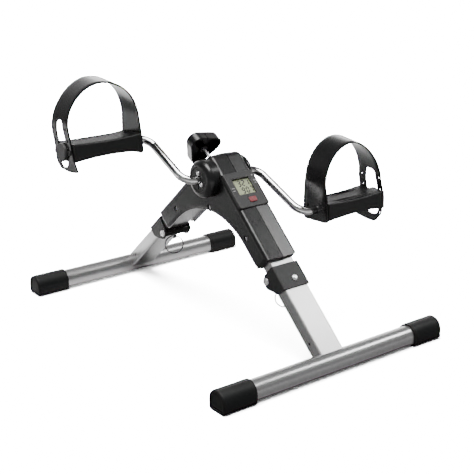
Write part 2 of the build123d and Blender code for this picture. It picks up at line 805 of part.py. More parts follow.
# ---- pedals and straps ---------------------------------------------------
for name, hand in hands.items():
    flat = pedal_plane(hand)
    body_inner = strap_inner + strap_thickness
    body_outer = strap_outer - strap_thickness
    middle = (body_inner + body_outer) / 2
    stand = limb_plane(hand, 0)
    rib_shift = (rib_count - 1) / 2
    rib_planes = [flat.offset((n - rib_shift) * rib_pitch) for n in range(rib_count)]
    with BuildPart() as pedal:
        with BuildSketch(flat):
            with BuildLine():
                ThreePointArc(
                    (body_inner, pedal_top),
                    (middle, pedal_top - pedal_saddle),
                    (body_outer, pedal_top),
                )
                Line((body_outer, pedal_top), (body_outer, pedal_bottom))
                ThreePointArc(
                    (body_outer, pedal_bottom),
                    (middle, pedal_bottom + pedal_arch),
                    (body_inner, pedal_bottom),
                )
                Line((body_inner, pedal_bottom), (body_inner, pedal_top))
            make_face()
        extrude(amount=pedal_half_depth, both=True)
        tread = faces().sort_by(Axis(flat.origin, flat.y_dir))[-1]
        fillet(tread.edges().filter_by(GeomType.CIRCLE), pedal_edge)
        with BuildSketch(flat):
            hollow_length = body_outer - body_inner - 2 * pedal_wall
            with Locations((middle, pedal_ceiling - pedal_half_depth)):
                Rectangle(hollow_length, 2 * pedal_half_depth)
        extrude(amount=pedal_half_depth - pedal_wall, both=True, mode=Mode.SUBTRACT)
        with BuildSketch(limb_plane(hand, body_inner)):
            Circle(pedal_tube)
            with Locations((0, pedal_ceiling + pedal_tube)):
                Rectangle(4 * pedal_tube, 2 * pedal_tube, mode=Mode.SUBTRACT)
        extrude(amount=body_outer - body_inner)
        with BuildSketch(*[limb_plane(hand, x - stiffener_width / 2) for x in stiffener_places]):
            with Locations((0, (pedal_ceiling + pedal_bottom + pedal_arch) / 2)):
                Rectangle(
                    2 * (pedal_half_depth - pedal_wall),
                    pedal_ceiling - pedal_bottom - pedal_arch,
                )
        extrude(amount=stiffener_width)
        with BuildSketch(*rib_planes):
            with BuildLine():
                ThreePointArc(
                    (body_inner + rib_margin, pedal_top),
                    (middle, pedal_top - pedal_saddle + rib_height),
                    (body_outer - rib_margin, pedal_top),
                )
                Polyline(
                    (body_outer - rib_margin, pedal_top),
                    (body_outer - rib_margin, pedal_ceiling + 1),
                    (body_inner + rib_margin, pedal_ceiling + 1),
                    (body_inner + rib_margin, pedal_top),
                )
            make_face()
        extrude(amount=rib_width / 2, both=True)
        with BuildSketch(stand):
            Circle(rod_radius + running)
        extrude(amount=strap_outer, mode=Mode.SUBTRACT)
        with BuildSketch(limb_plane(hand, body_outer)):
            with Locations((-peg_across, 0), (peg_across, 0)):
                Circle(peg_radius)
        extrude(amount=strap_thickness)
        with BuildSketch(limb_plane(hand, strap_outer)):
            with Locations((-peg_across, 0), (peg_across, 0)):
                Circle(peg_head)
        extrude(amount=peg_head_height)
        with BuildSketch(limb_plane(hand, strap_inner)):
            with Locations((-peg_across, inner_peg_height), (peg_across, inner_peg_height)):
                Circle(peg_radius)
        extrude(amount=strap_thickness)
        with BuildSketch(limb_plane(hand, strap_inner)):
            with Locations((-peg_across, inner_peg_height), (peg_across, inner_peg_height)):
                Circle(inner_peg_head)
        extrude(amount=-peg_head_height)
    pedal.part.label = f"{name}_pedal"
    export_step(pedal.part, f"parts/{name}_pedal.step")

    with BuildPart() as strap:
        with BuildSketch(flat):
            arch_outer = (strap_outer - strap_inner) / 2
            arch_inner = arch_outer - strap_thickness
            with BuildLine():
                Line((strap_inner, strap_foot), (strap_inner, strap_arch_height))
                ThreePointArc(
                    (strap_inner, strap_arch_height),
                    (middle, strap_arch_height + arch_outer),
                    (strap_outer, strap_arch_height),
                )
                Line((strap_outer, strap_arch_height), (strap_outer, strap_foot))
                Line((strap_outer, strap_foot), (body_outer, strap_foot))
                Line((body_outer, strap_foot), (body_outer, strap_arch_height))
                ThreePointArc(
                    (body_outer, strap_arch_height),
                    (middle, strap_arch_height + arch_inner),
                    (body_inner, strap_arch_height),
                )
                Line((body_inner, strap_arch_height), (body_inner, strap_foot))
                Line((body_inner, strap_foot), (strap_inner, strap_foot))
            make_face()
        extrude(amount=strap_half_width, both=True)
        with BuildSketch(limb_plane(hand, strap_inner)):
            with BuildLine():
                Polyline(
                    (strap_half_width, strap_arch_height),
                    (inner_half_width, tail_flare),
                    (inner_half_width, strap_foot),
                    (-inner_half_width, strap_foot),
                    (-inner_half_width, tail_flare),
                    (-strap_half_width, strap_arch_height),
                    close=True,
                )
            make_face()
            fillet(vertices().group_by(Axis.Y)[0], tail_round)
        extrude(amount=strap_thickness)
        with BuildSketch(limb_plane(hand, body_outer)):
            with BuildLine():
                Polyline(
                    (strap_half_width, strap_arch_height),
                    (limb_half_width, tail_flare),
                    (limb_half_width, tail_waist),
                    (limb_half_width - tail_step / 2, strap_foot),
                    (tail_tip_across, tail_tip),
                    (0, tail_bottom),
                    (-tail_heel, tail_bottom + 2 * tail_step),
                    (tail_step - limb_half_width, tail_waist - 4 * tail_step),
                    (-limb_half_width, tail_waist + 4 * tail_step),
                    (-limb_half_width, tail_flare),
                    (-strap_half_width, strap_arch_height),
                    close=True,
                )
            make_face()
            fillet(vertices().filter_by(lambda v: v.Y < tail_flare), tail_round)
        extrude(amount=strap_thickness)
        with BuildSketch(limb_plane(hand, body_outer - slot_half_width)):
            with Locations((0, (slot_top + slot_bottom) / 2)):
                RectangleRounded(2 * slot_half_width, slot_top - slot_bottom, slot_corner)
        extrude(amount=2 * slot_half_width, mode=Mode.SUBTRACT)
        with BuildSketch(limb_plane(hand, body_outer - 1)):
            heights = (2 * hole_pitch, hole_pitch, -hole_pitch)
            with Locations(*[(t * peg_across, w) for t in (-1, 1) for w in heights]):
                Circle(hole_radius)
            with Locations((-peg_across, 0), (peg_across, 0)):
                Circle(peg_radius)
        extrude(amount=2 * strap_thickness, mode=Mode.SUBTRACT)
        with BuildSketch(limb_plane(hand, strap_inner - 1)):
            Circle(spindle_opening)
            with Locations((-peg_across, inner_peg_height), (peg_across, inner_peg_height)):
                Circle(peg_radius)
        extrude(amount=2 * strap_thickness, mode=Mode.SUBTRACT)
    strap.part.label = f"{name}_strap"
    export_step(strap.part, f"parts/{name}_strap.step")


# ---- tension knob and brake ----------------------------------------------
with BuildPart() as tension_knob:
    with BuildSketch(knob_plane(knob_base)):
        with PolarLocations(knob_lobe_reach, knob_lobes, start_angle=knob_turned):
            Circle(knob_lobe_radius)
        make_hull()
    extrude(amount=knob_thickness)
    knob_top = faces().sort_by(Axis((0, 0, 0), knob_plane(0).z_dir))[-1]
    fillet(knob_top.edges(), knob_edge)
    with BuildSketch(knob_plane(knob_base)):
        with PolarLocations(knob_lobe_reach, knob_lobes, start_angle=knob_turned):
            Circle(knob_lobe_radius - knob_skirt)
        make_hull()
        Circle(knob_post_radius, mode=Mode.SUBTRACT)
    extrude(amount=knob_hollow, mode=Mode.SUBTRACT)
    with BuildSketch(knob_plane(knob_base)):
        Circle(tension_rod_radius)
    extrude(amount=knob_thickness / 2, mode=Mode.SUBTRACT)
tension_knob.part.label = "tension_knob"
export_step(tension_knob.part, "parts/tension_knob.step")

with BuildPart() as tension_screw:
    with BuildSketch(knob_plane(tension_rod_tip)):
        Circle(tension_rod_radius)
    extrude(amount=knob_base + knob_thickness / 2 - tension_rod_tip)
tension_screw.part.label = "tension_screw"
export_step(tension_screw.part, "parts/tension_screw.step")

with BuildPart() as tension_nut:
    with BuildSketch(knob_plane(0)):
        Circle(nut_radius)
    extrude(amount=nut_top)
    with BuildSketch(knob_plane(0)):
        Circle(tension_rod_radius + running)
    extrude(amount=2 * nut_top, mode=Mode.SUBTRACT)
    with BuildSketch(knob_plane(0)):
        Circle(shoe_radius + shoe_slack)
    extrude(amount=tension_rod_tip + 2 * shoe_gap, mode=Mode.SUBTRACT)
    with BuildSketch(across_plane(0)):
        Circle(hub_radius)
    extrude(amount=half_width, both=True, mode=Mode.SUBTRACT)
tension_nut.part.label = "tension_nut"
export_step(tension_nut.part, "parts/tension_nut.step")

with BuildPart() as brake_shoe:
    with BuildSketch(knob_plane(0)):
        Circle(shoe_radius)
    extrude(amount=tension_rod_tip)
    with BuildSketch(across_plane(0)):
        Circle(drum_radius + shoe_gap)
    extrude(amount=half_width, both=True, mode=Mode.SUBTRACT)
brake_shoe.part.label = "brake_shoe"
export_step(brake_shoe.part, "parts/brake_shoe.step")


# ---- monitor -------------------------------------------------------------
front = sides["front"]
case_middle = monitor_top + monitor_length / 2
screen_middle = monitor_top + screen_from_top + screen_length / 2
ceiling_out = monitor_face_out - monitor_wall
window_out = ceiling_out - window_thickness
panel_out = window_out - panel_thickness
board_out = panel_out - board_thickness
monitor_end = monitor_top + monitor_length
button_place = (front * button_across, monitor_end - button_from_end)
battery_place = (-front * battery_across, monitor_end - battery_from_end)

with BuildPart() as monitor_case:
    with BuildSketch(face_plane(front, monitor_base_out)):
        with Locations((0, case_middle)):
            RectangleRounded(2 * monitor_half_width, monitor_length, monitor_corner)
    extrude(amount=monitor_face_out - monitor_base_out)
    case_top = faces().sort_by(Axis((0, 0, 0), face_plane(front, 0).z_dir))[-1]
    fillet(case_top.edges(), monitor_edge)
    with BuildSketch(face_plane(front, monitor_base_out)):
        with Locations((0, case_middle)):
            inner_width = 2 * (monitor_half_width - monitor_wall)
            Rectangle(inner_width, monitor_length - 2 * monitor_wall)
    extrude(amount=ceiling_out - monitor_base_out, mode=Mode.SUBTRACT)
    with BuildSketch(face_plane(front, monitor_base_out)):
        with Locations((0, screen_middle)):
            Rectangle(2 * screen_half_width, screen_length)
        with Locations(button_place):
            opening_width = button_width + 2 * button_slack
            opening_height = button_height + 2 * button_slack
            RectangleRounded(opening_width, opening_height, button_corner + button_slack)
    extrude(amount=2 * tube_depth, mode=Mode.SUBTRACT)
monitor_case.part.label = "monitor_case"
export_step(monitor_case.part, "parts/monitor_case.step")

with BuildPart() as lcd_window:
    with BuildSketch(face_plane(front, window_out)):
        with Locations((0, screen_middle)):
            Rectangle(2 * (screen_half_width + screen_margin), screen_length + 2 * screen_margin)
    extrude(amount=window_thickness)
lcd_window.part.label = "lcd_window"
export_step(lcd_window.part, "parts/lcd_window.step")

with BuildPart() as lcd_panel:
    with BuildSketch(face_plane(front, panel_out)):
        with Locations((0, screen_middle)):
            Rectangle(2 * (screen_half_width + screen_margin), screen_length + 2 * screen_margin)
    extrude(amount=panel_thickness)
lcd_panel.part.label = "lcd_panel"
export_step(lcd_panel.part, "parts/lcd_panel.step")

with BuildPart() as circuit_board:
    with BuildSketch(face_plane(front, board_out)):
        with Locations((0, case_middle)):
            Rectangle(2 * board_half_width, monitor_length - 2 * (monitor_wall + board_margin))
        with Locations(battery_place):
            Circle(battery_radius + battery_slack, mode=Mode.SUBTRACT)
    extrude(amount=board_thickness)
circuit_board.part.label = "circuit_board"
export_step(circuit_board.part, "parts/circuit_board.step")

with BuildPart() as battery:
    with BuildSketch(face_plane(front, ceiling_out)):
        with Locations(battery_place):
            Circle(battery_radius)
    extrude(amount=-battery_thickness)
battery.part.label = "battery"
export_step(battery.part, "parts/battery.step")

with BuildPart() as reset_button:
    flange_out = ceiling_out - button_gap - button_flange_thickness
    with BuildSketch(face_plane(front, flange_out)):
        with Locations(button_place):
            Rectangle(button_width + 2 * button_flange, button_height + 2 * button_flange)
    extrude(amount=button_flange_thickness)
    with BuildSketch(face_plane(front, flange_out)):
        with Locations(button_place):
            RectangleRounded(button_width, button_height, button_corner)
    extrude(amount=monitor_face_out + button_proud - flange_out)
    button_top = faces().sort_by(Axis((0, 0, 0), face_plane(front, 0).z_dir))[-1]
    fillet(button_top.edges(), button_proud / 2)
reset_button.part.label = "reset_button"
export_step(reset_button.part, "parts/reset_button.step")
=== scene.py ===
import math

import bmesh
import bpy
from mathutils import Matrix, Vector


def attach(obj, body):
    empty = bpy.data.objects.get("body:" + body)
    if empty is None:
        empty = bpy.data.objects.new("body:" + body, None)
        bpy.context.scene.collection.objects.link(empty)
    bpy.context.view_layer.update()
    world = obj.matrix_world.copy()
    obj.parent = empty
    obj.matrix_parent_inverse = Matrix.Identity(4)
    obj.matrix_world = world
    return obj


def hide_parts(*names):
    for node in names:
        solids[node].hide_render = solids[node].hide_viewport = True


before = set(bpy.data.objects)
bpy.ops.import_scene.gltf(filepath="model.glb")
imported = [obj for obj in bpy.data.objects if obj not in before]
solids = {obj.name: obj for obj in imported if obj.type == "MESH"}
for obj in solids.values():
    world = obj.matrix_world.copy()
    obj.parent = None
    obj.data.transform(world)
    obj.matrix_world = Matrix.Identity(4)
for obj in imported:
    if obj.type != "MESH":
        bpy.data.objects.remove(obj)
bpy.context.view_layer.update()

legSlope = math.radians(42)
hubHeight = 0.2143
downY, downZ = math.cos(legSlope), math.sin(legSlope)


# camera

cameraView = {
    "place": (-0.87783, -1.18801, 0.63624),
    "azimuth": -37.17,
    "elevation": 19.246,
    "lens": 82.04,
    "sensor": 36.0,
    "reach": 60,
}


def addCamera(view):
    data = bpy.data.cameras.new("mainCamera")
    data.lens = view["lens"]
    data.sensor_width = view["sensor"]
    data.clip_end = view["reach"]
    camera = bpy.data.objects.new("mainCamera", data)
    camera.location = view["place"]
    camera.rotation_euler = (math.radians(90 - view["elevation"]), 0, math.radians(view["azimuth"]))
    bpy.context.scene.collection.objects.link(camera)
    bpy.context.scene.camera = camera
    print("camera placed")


addCamera(cameraView)


# shader building: a socket with ordinary arithmetic

class Signal:
    def __init__(self, tree, socket):
        self.tree = tree
        self.socket = socket

    def math(self, operation, other=None, swap=False):
        node = self.tree.nodes.new("ShaderNodeMath")
        node.operation = operation
        values = [self] if other is None else [self, other]
        if swap:
            values.reverse()
        for place, value in enumerate(values):
            if isinstance(value, Signal):
                self.tree.links.new(value.socket, node.inputs[place])
            else:
                node.inputs[place].default_value = value
        return Signal(self.tree, node.outputs[0])

    def __add__(self, other):
        return self.math("ADD", other)

    def __radd__(self, other):
        return self.math("ADD", other, swap=True)

    def __sub__(self, other):
        return self.math("SUBTRACT", other)

    def __rsub__(self, other):
        return self.math("SUBTRACT", other, swap=True)

    def __mul__(self, other):
        return self.math("MULTIPLY", other)

    def __rmul__(self, other):
        return self.math("MULTIPLY", other, swap=True)

    def __truediv__(self, other):
        return self.math("DIVIDE", other)

    def __rtruediv__(self, other):
        return self.math("DIVIDE", other, swap=True)

    def __gt__(self, other):
        return self.math("GREATER_THAN", other)

    def __lt__(self, other):
        return self.math("LESS_THAN", other)

    def clamped(self):
        return self.math("MAXIMUM", 0.0).math("MINIMUM", 1.0)

    def rising(self, start, end):
        # 0 as far as the start, and 1 from the end on
        return ((self - start) / (end - start)).clamped()


# a node tree, and how its nodes are made and joined

class Nodes:
    def __init__(self, tree):
        self.tree = tree

    def node(self, kind, settings=None, **values):
        made = self.tree.nodes.new(kind)
        for key, value in (settings or {}).items():
            if key == "stops":
                self.setStops(made.color_ramp, value)
            else:
                setattr(made, key, value)
        for key, value in values.items():
            self.feed(made.inputs[self.socketName(made, key)], value)
        return made

    def socketName(self, made, key):
        for name in made.inputs.keys():
            if name.replace(" ", "").lower() == key.lower():
                return name
        return key

    def setStops(self, ramp, stops):
        for end, (place, shade) in ((ramp.elements[0], stops[0]), (ramp.elements[-1], stops[-1])):
            end.position = place
            end.color = shade
        for place, shade in stops[1:-1]:
            ramp.elements.new(place).color = shade

    def feed(self, socket, value):
        if isinstance(value, Signal):
            self.tree.links.new(value.socket, socket)
        else:
            socket.default_value = value

    def out(self, made, name=0):
        return Signal(self.tree, made.outputs[name])

    def place(self):
        return self.out(self.node("ShaderNodeTexCoord"), "Object")

    def split(self, where):
        spot = self.node("ShaderNodeSeparateXYZ")
        self.feed(spot.inputs[0], where)
        return [self.out(spot, axis) for axis in "XYZ"]

    def rays(self):
        # whether a ray comes straight from the camera, and whether it was mirrored
        path = self.node("ShaderNodeLightPath")
        return self.out(path, "Is Camera Ray"), self.out(path, "Is Glossy Ray")

    def noise(self, scale, detail=3.0, rough=0.5):
        made = self.node("ShaderNodeTexNoise", None, Scale=scale, Detail=detail, Roughness=rough)
        self.feed(made.inputs["Vector"], self.place())
        return self.out(made, "Fac")

    def mixColour(self, factor, first, second):
        made = self.node("ShaderNodeMix", {"data_type": "RGBA"})
        self.feed(made.inputs[0], factor)
        self.feed(made.inputs[6], first)
        self.feed(made.inputs[7], second)
        return self.out(made, 2)

    def bump(self, height, strength, distance):
        made = self.node("ShaderNodeBump", None, Strength=strength, Distance=distance)
        self.feed(made.inputs["Height"], height)
        return self.out(made, "Normal")


class Finish(Nodes):
    def __init__(self, name):
        self.material = bpy.data.materials.new(name)
        self.material.use_nodes = True
        super().__init__(self.material.node_tree)
        self.shader = self.tree.nodes["Principled BSDF"]

    def surface(self, shader):
        self.tree.links.new(shader.outputs[0], self.tree.nodes["Material Output"].inputs["Surface"])

    def seamShadow(self, half, shade):
        # painted shadow along the parting line where two halves meet
        across = self.split(self.place())[0]
        shadow = self.node("ShaderNodeBsdfDiffuse", None, Color=shade)
        both = self.node("ShaderNodeMixShader", None, Fac=across.math("ABSOLUTE") < half)
        self.tree.links.new(self.shader.outputs[0], both.inputs[1])
        self.tree.links.new(shadow.outputs[0], both.inputs[2])
        self.surface(both)

    def set(self, **values):
        for key, value in values.items():
            self.feed(self.shader.inputs[self.socketName(self.shader, key)], value)
        return self


def grey(level, warmth=0.0):
    return (level * (1 + warmth), level, level * (1 - warmth), 1)


# finishes

grain = {"depth": 0.0002, "rough": 0.06}


def mouldedPlastic(name, look):
    made = Finish(name)
    fine = made.noise(look["grain"], 2.0)
    drift = made.noise(look["drift"], 4.0)
    made.set(basecolor=made.mixColour(drift, *look["shades"]))
    made.set(roughness=look["rough"] + (drift - 0.5) * look["roughDrift"] + (fine - 0.5) * grain["rough"])
    made.set(normal=made.bump(fine, look["bump"], grain["depth"]))
    made.set(speculariorlevel=look["gloss"])
    if "seam" in look:
        made.seamShadow(*look["seam"])
    return made.material


finishLooks = {
    "housing": {
        "shades": (grey(0.006), grey(0.009)), "rough": 0.29, "roughDrift": 0.08,
        "grain": 2600, "drift": 22, "bump": 0.10, "gloss": 0.52,
        # half width and darkness of the painted shadow along the parting line
        "seam": (0.0005, grey(0.002)),
    },
    "pedal": {
        "shades": (grey(0.012), grey(0.017)), "rough": 0.48, "roughDrift": 0.12,
        "grain": 2200, "drift": 40, "bump": 0.14, "gloss": 0.25,
    },
    "strap": {
        "shades": (grey(0.006), grey(0.008)), "rough": 0.24, "roughDrift": 0.08,
        "grain": 1700, "drift": 30, "bump": 0.07, "gloss": 0.44,
    },
    "footCap": {
        "shades": (grey(0.010), grey(0.014)), "rough": 0.50, "roughDrift": 0.12,
        "grain": 1500, "drift": 36, "bump": 0.22, "gloss": 0.20,
    },
    "monitor": {
        "shades": (grey(0.040), grey(0.050)), "rough": 0.45, "roughDrift": 0.08,
        "grain": 3000, "drift": 60, "bump": 0.08, "gloss": 0.30,
    },
    "spindleCap": {
        "shades": (grey(0.050), grey(0.065)), "rough": 0.48, "roughDrift": 0.1,
        "grain": 2400, "drift": 60, "bump": 0.10, "gloss": 0.50,
    },
    "button": {
        "shades": ((0.24, 0.030, 0.038, 1), (0.29, 0.038, 0.048, 1)), "rough": 0.42, "roughDrift": 0.06,
        "grain": 2600, "drift": 90, "bump": 0.06, "gloss": 0.50,
    },
    "nylon": {
        "shades": (grey(0.62, 0.02), grey(0.70, 0.02)), "rough": 0.42, "roughDrift": 0.08,
        "grain": 1800, "drift": 60, "bump": 0.06, "gloss": 0.50,
    },
    "sensor": {
        "shades": (grey(0.02), grey(0.03)), "rough": 0.3, "roughDrift": 0.06,
        "grain": 2600, "drift": 90, "bump": 0.04, "gloss": 0.50,
    },
    "board": {
        "shades": ((0.012, 0.10, 0.04, 1), (0.02, 0.15, 0.06, 1)), "rough": 0.35, "roughDrift": 0.1,
        "grain": 900, "drift": 160, "bump": 0.05, "gloss": 0.50,
    },
}


def coatedMetal(name, look):
    made = Finish(name)
    flake = made.noise(look["flake"], 1.0)
    drift = made.noise(look["drift"], 4.0)
    made.set(basecolor=made.mixColour(drift, *look["shades"]))
    made.set(metallic=look["metal"])
    made.set(roughness=look["rough"] + (flake - 0.5) * look["sparkle"] + (drift - 0.5) * grain["rough"])
    made.set(normal=made.bump(flake, look["bump"], grain["depth"]))
    made.set(coatweight=look["coat"], coatroughness=look["coatRough"], speculariorlevel=look["gloss"])
    return made.material


coatLooks = {
    "silver": {
        "shades": (grey(0.45), grey(0.49)), "metal": 0.90, "rough": 0.30, "sparkle": 0.16,
        "flake": 2400, "drift": 14, "bump": 0.06, "coat": 0.25, "coatRough": 0.25, "gloss": 0.5,
    },
    "blackCoat": {
        "shades": (grey(0.022), grey(0.029)), "metal": 0.0, "rough": 0.40, "sparkle": 0.14,
        "flake": 1500, "drift": 40, "bump": 0.16, "coat": 0.0, "coatRough": 0.25, "gloss": 0.25,
    },
}


def plainMetal(name, look):
    made = Finish(name)
    fine = made.noise(look["fine"], 2.0)
    drift = made.noise(look["drift"], 4.0)
    made.set(basecolor=made.mixColour(drift, *look["shades"]))
    made.set(metallic=1.0)
    made.set(roughness=look["rough"] + (drift - 0.5) * look["smudge"])
    made.set(normal=made.bump(fine, look["bump"], grain["depth"] / 2))
    return made.material


metalLooks = {
    "chrome": {
        "shades": (grey(0.78), grey(0.84)), "rough": 0.07, "smudge": 0.05,
        "fine": 300, "drift": 26, "bump": 0.012,
    },
    "zinc": {
        "shades": (grey(0.84), grey(0.92)), "rough": 0.30, "smudge": 0.14,
        "fine": 1400, "drift": 120, "bump": 0.05,
    },
    "ringWire": {
        "shades": (grey(0.10), grey(0.15)), "rough": 0.30, "smudge": 0.2,
        "fine": 900, "drift": 90, "bump": 0.04,
    },
    "darkSteel": {
        "shades": (grey(0.16), grey(0.22)), "rough": 0.40, "smudge": 0.2,
        "fine": 900, "drift": 60, "bump": 0.08,
    },
    "cell": {
        "shades": (grey(0.60), grey(0.68)), "rough": 0.20, "smudge": 0.1,
        "fine": 1200, "drift": 150, "bump": 0.03,
    },
}


windowLook = {
    "shade": (0.30, 0.32, 0.26, 1), "rough": (0.06, 0.05), "alpha": (0.07, 0.03), "haze": 60, "ior": 1.1,
}
displayLook = {"shades": ((0.52, 0.58, 0.34, 1), (0.58, 0.64, 0.40, 1)), "rough": (0.42, 0.08), "haze": 60}
feltLook = {
    "shades": ((0.10, 0.07, 0.05, 1), (0.22, 0.17, 0.12, 1)), "rough": 0.95,
    "fuzz": 1600, "sheen": 0.3, "bump": 0.5, "depth": 0.0004,
}


def between(span, share):
    # from the first value, by as much of the second as the share says
    return span[0] + share * span[1]


def clearWindow(name, look):
    made = Finish(name)
    haze = made.noise(look["haze"], 3.0)
    made.set(basecolor=look["shade"], roughness=between(look["rough"], haze))
    made.set(ior=look["ior"], alpha=between(look["alpha"], haze))
    made.material.surface_render_method = "BLENDED"
    return made.material


def displayPanel(name, look):
    made = Finish(name)
    haze = made.noise(look["haze"], 3.0)
    made.set(basecolor=made.mixColour(haze, *look["shades"]))
    made.set(roughness=between(look["rough"], haze))
    return made.material


def feltPad(name, look):
    made = Finish(name)
    fuzz = made.noise(look["fuzz"], 5.0, 0.7)
    made.set(basecolor=made.mixColour(fuzz, *look["shades"]))
    made.set(roughness=look["rough"], sheenweight=look["sheen"])
    made.set(normal=made.bump(fuzz, look["bump"], look["depth"]))
    return made.material


def flatPrint(name, look):
    made = Finish(name)
    wear = made.noise(*look["wear"])
    made.set(basecolor=made.mixColour(wear, *look["inks"]))
    made.set(roughness=look["rough"])
    return made.material


finishes = {name: mouldedPlastic(name, look) for name, look in finishLooks.items()}
finishes.update({name: coatedMetal(name, look) for name, look in coatLooks.items()})
finishes.update({name: plainMetal(name, look) for name, look in metalLooks.items()})
finishes["window"] = clearWindow("window", windowLook)
finishes["display"] = displayPanel("display", displayLook)
finishes["felt"] = feltPad("felt", feltLook)

wornBy = {
    "housing": ("left_housing", "right_housing", "tension_knob", "tension_nut"),
    "pedal": ("left_pedal", "right_pedal"),
    "strap": ("left_strap", "right_strap"),
    "footCap": ("front_left_cap", "front_right_cap", "rear_left_cap", "rear_right_cap"),
    "monitor": ("monitor_case",),
    "spindleCap": ("left_spindle_cap", "right_spindle_cap"),
    "button": ("reset_button",),
    "nylon": ("left_bush", "right_bush", "thrust_collar"),
    "sensor": ("reed_sensor",),
    "board": ("circuit_board",),
    "silver": (
        "front_leg_tube", "rear_leg_tube", "front_foot_tube", "rear_foot_tube", "front_stub", "rear_stub",
    ),
    "blackCoat": (
        "front_hinge_bracket", "rear_hinge_bracket", "front_hinge_barrel", "rear_hinge_barrel",
        "bearing_plate",
    ),
    "chrome": ("crank_rod",),
    "zinc": (
        "front_hinge_rivet", "rear_hinge_rivet", "front_lock_pin", "rear_lock_pin", "front_pin_sleeve",
        "rear_pin_sleeve", "housing_screws", "bearing_bolts", "tension_screw",
    ),
    "ringWire": ("front_pull_ring", "rear_pull_ring"),
    "darkSteel": ("hub_tube", "brake_drum"),
    "cell": ("battery", "sensor_magnet"),
    "window": ("lcd_window",),
    "display": ("lcd_panel",),
    "felt": ("brake_shoe",),
}

for finishName, wearers in wornBy.items():
    for wearer in wearers:
        mesh = solids[wearer].data
        mesh.materials.clear()
        mesh.materials.append(finishes[finishName])
print("finishes on", len(solids), "solids")


# places on the front leg: across, down the leg and out of it, in metres

def onFront(across, down, out):
    return Vector((across, -(down * downY + out * downZ), hubHeight - down * downZ + out * downY))


def keepMesh(name, mesh, body, material):
    made = bpy.data.objects.new(name, mesh)
    bpy.context.scene.collection.objects.link(made)
    mesh.materials.append(material)
    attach(made, body)
    return made


def frontPlate(bm, corners, low, high):
    # a flat shape given by its outline across and down, between two heights out of the leg
    under = [bm.verts.new(onFront(x, d, low)) for x, d in corners]
    over = [bm.verts.new(onFront(x, d, high)) for x, d in corners]
    bm.faces.new(over)
    bm.faces.new(list(reversed(under)))
    for n in range(len(corners)):
        m = (n + 1) % len(corners)
        bm.faces.new((under[n], under[m], over[m], over[n]))


def meshFrom(name, bm):
    bmesh.ops.recalc_face_normals(bm, faces=bm.faces)
    mesh = bpy.data.meshes.new(name)
    bm.to_mesh(mesh)
    bm.free()
    return mesh


# display: digits, and the words on the case as plain dashes

display = {
    "digitTop": 0.02570,
    "digitFoot": 0.02562,
    "rows": (
        # text, left edge, top edge, digit width, digit height
        ("321", -0.0078, 0.0276, 0.0056, 0.0106),
        ("907", -0.0060, 0.0392, 0.0056, 0.0106),
    ),
    "spacing": 0.0070,
    "stroke": 0.0019,
    "lean": 0.0010,
    "gap": 0.12,
    "inks": ((0.012, 0.014, 0.008, 1), (0.015, 0.0175, 0.010, 1)),
    "wear": (300, 2.0),
    "rough": 0.5,
}

litBars = {
    "0": "abcdef", "1": "bc", "2": "abged", "3": "abgcd", "4": "fgbc",
    "5": "afgcd", "6": "afgedc", "7": "abc", "8": "abcdefg", "9": "abcdfg",
}


def digitBars(width, height, look):
    # each bar as a six-sided slug, as on a liquid crystal display
    half, gap = look["stroke"] / 2, look["stroke"] * look["gap"]
    middle = height / 2
    runs = {
        "a": ((half, half), (width - half, half)),
        "g": ((half, middle), (width - half, middle)),
        "d": ((half, height - half), (width - half, height - half)),
        "f": ((half, half), (half, middle)),
        "b": ((width - half, half), (width - half, middle)),
        "e": ((half, middle), (half, height - half)),
        "c": ((width - half, middle), (width - half, height - half)),
    }
    bars = {}
    for letter, (start, end) in runs.items():
        flat = start[1] == end[1]
        x0, y0 = start[0] + (gap if flat else 0), start[1] + (0 if flat else gap)
        x1, y1 = end[0] - (gap if flat else 0), end[1] - (0 if flat else gap)
        if flat:
            bars[letter] = (
                (x0, y0), (x0 + half, y0 - half), (x1 - half, y0 - half),
                (x1, y0), (x1 - half, y0 + half), (x0 + half, y0 + half),
            )
        else:
            bars[letter] = (
                (x0, y0), (x0 + half, y0 + half), (x0 + half, y1 - half),
                (x0, y1), (x0 - half, y1 - half), (x0 - half, y0 + half),
            )
    return bars


def addDigits(look):
    bm = bmesh.new()
    for text, left, top, width, height in look["rows"]:
        bars = digitBars(width, height, look)
        for place, digit in enumerate(text):
            for letter in litBars[digit]:
                corners = []
                for x, y in bars[letter]:
                    lean = look["lean"] * (0.5 - y / height)
                    corners.append((left + place * look["spacing"] + x + lean, top + y))
                frontPlate(bm, corners, look["digitFoot"], look["digitTop"])
    ink = flatPrint("displayInk", look)
    digits = keepMesh("displayDigits", meshFrom("displayDigits", bm), "frame", ink)


addDigits(display)

caseMarks = {
    "face": 0.0284,
    "proud": 0.00006,
    "sunk": 0.0002,
    "dashes": (
        # across, down, width, height
        (-0.0205, 0.0400, 0.0046, 0.0014),
        (-0.0205, 0.0440, 0.0040, 0.0014),
        (0.0205, 0.0245, 0.0030, 0.0018),
        (0.0207, 0.0330, 0.0050, 0.0015),
        (0.0207, 0.0372, 0.0042, 0.0015),
    ),
    "inks": (grey(0.30), grey(0.40)),
    "wear": (1400, 3.0),
    "rough": 0.5,
}


def addCaseMarks(look):
    bm = bmesh.new()
    for x, d, width, height in look["dashes"]:
        w, h = width / 2, height / 2
        corners = ((x - w, d - h), (x + w, d - h), (x + w, d + h), (x - w, d + h))
        frontPlate(bm, corners, look["face"] - look["sunk"], look["face"] + look["proud"])
    marks = keepMesh("caseMarks", meshFrom("caseMarks", bm), "frame", flatPrint("padPrint", look))


addCaseMarks(caseMarks)


# display: painted shadow in the screen's recess, a dark sheet round it, wider at the top and right where the
# recess walls are in shade

screenRecessShadow = {
    "halfWidth": 0.0158,
    "top": 0.0235,
    "bottom": 0.0523,
    "foot": 0.02642,
    "lip": 0.02838,
    "thick": 0.0004,
    # width of the painted shadow at the top and right
    "wide": 0.0021,
}


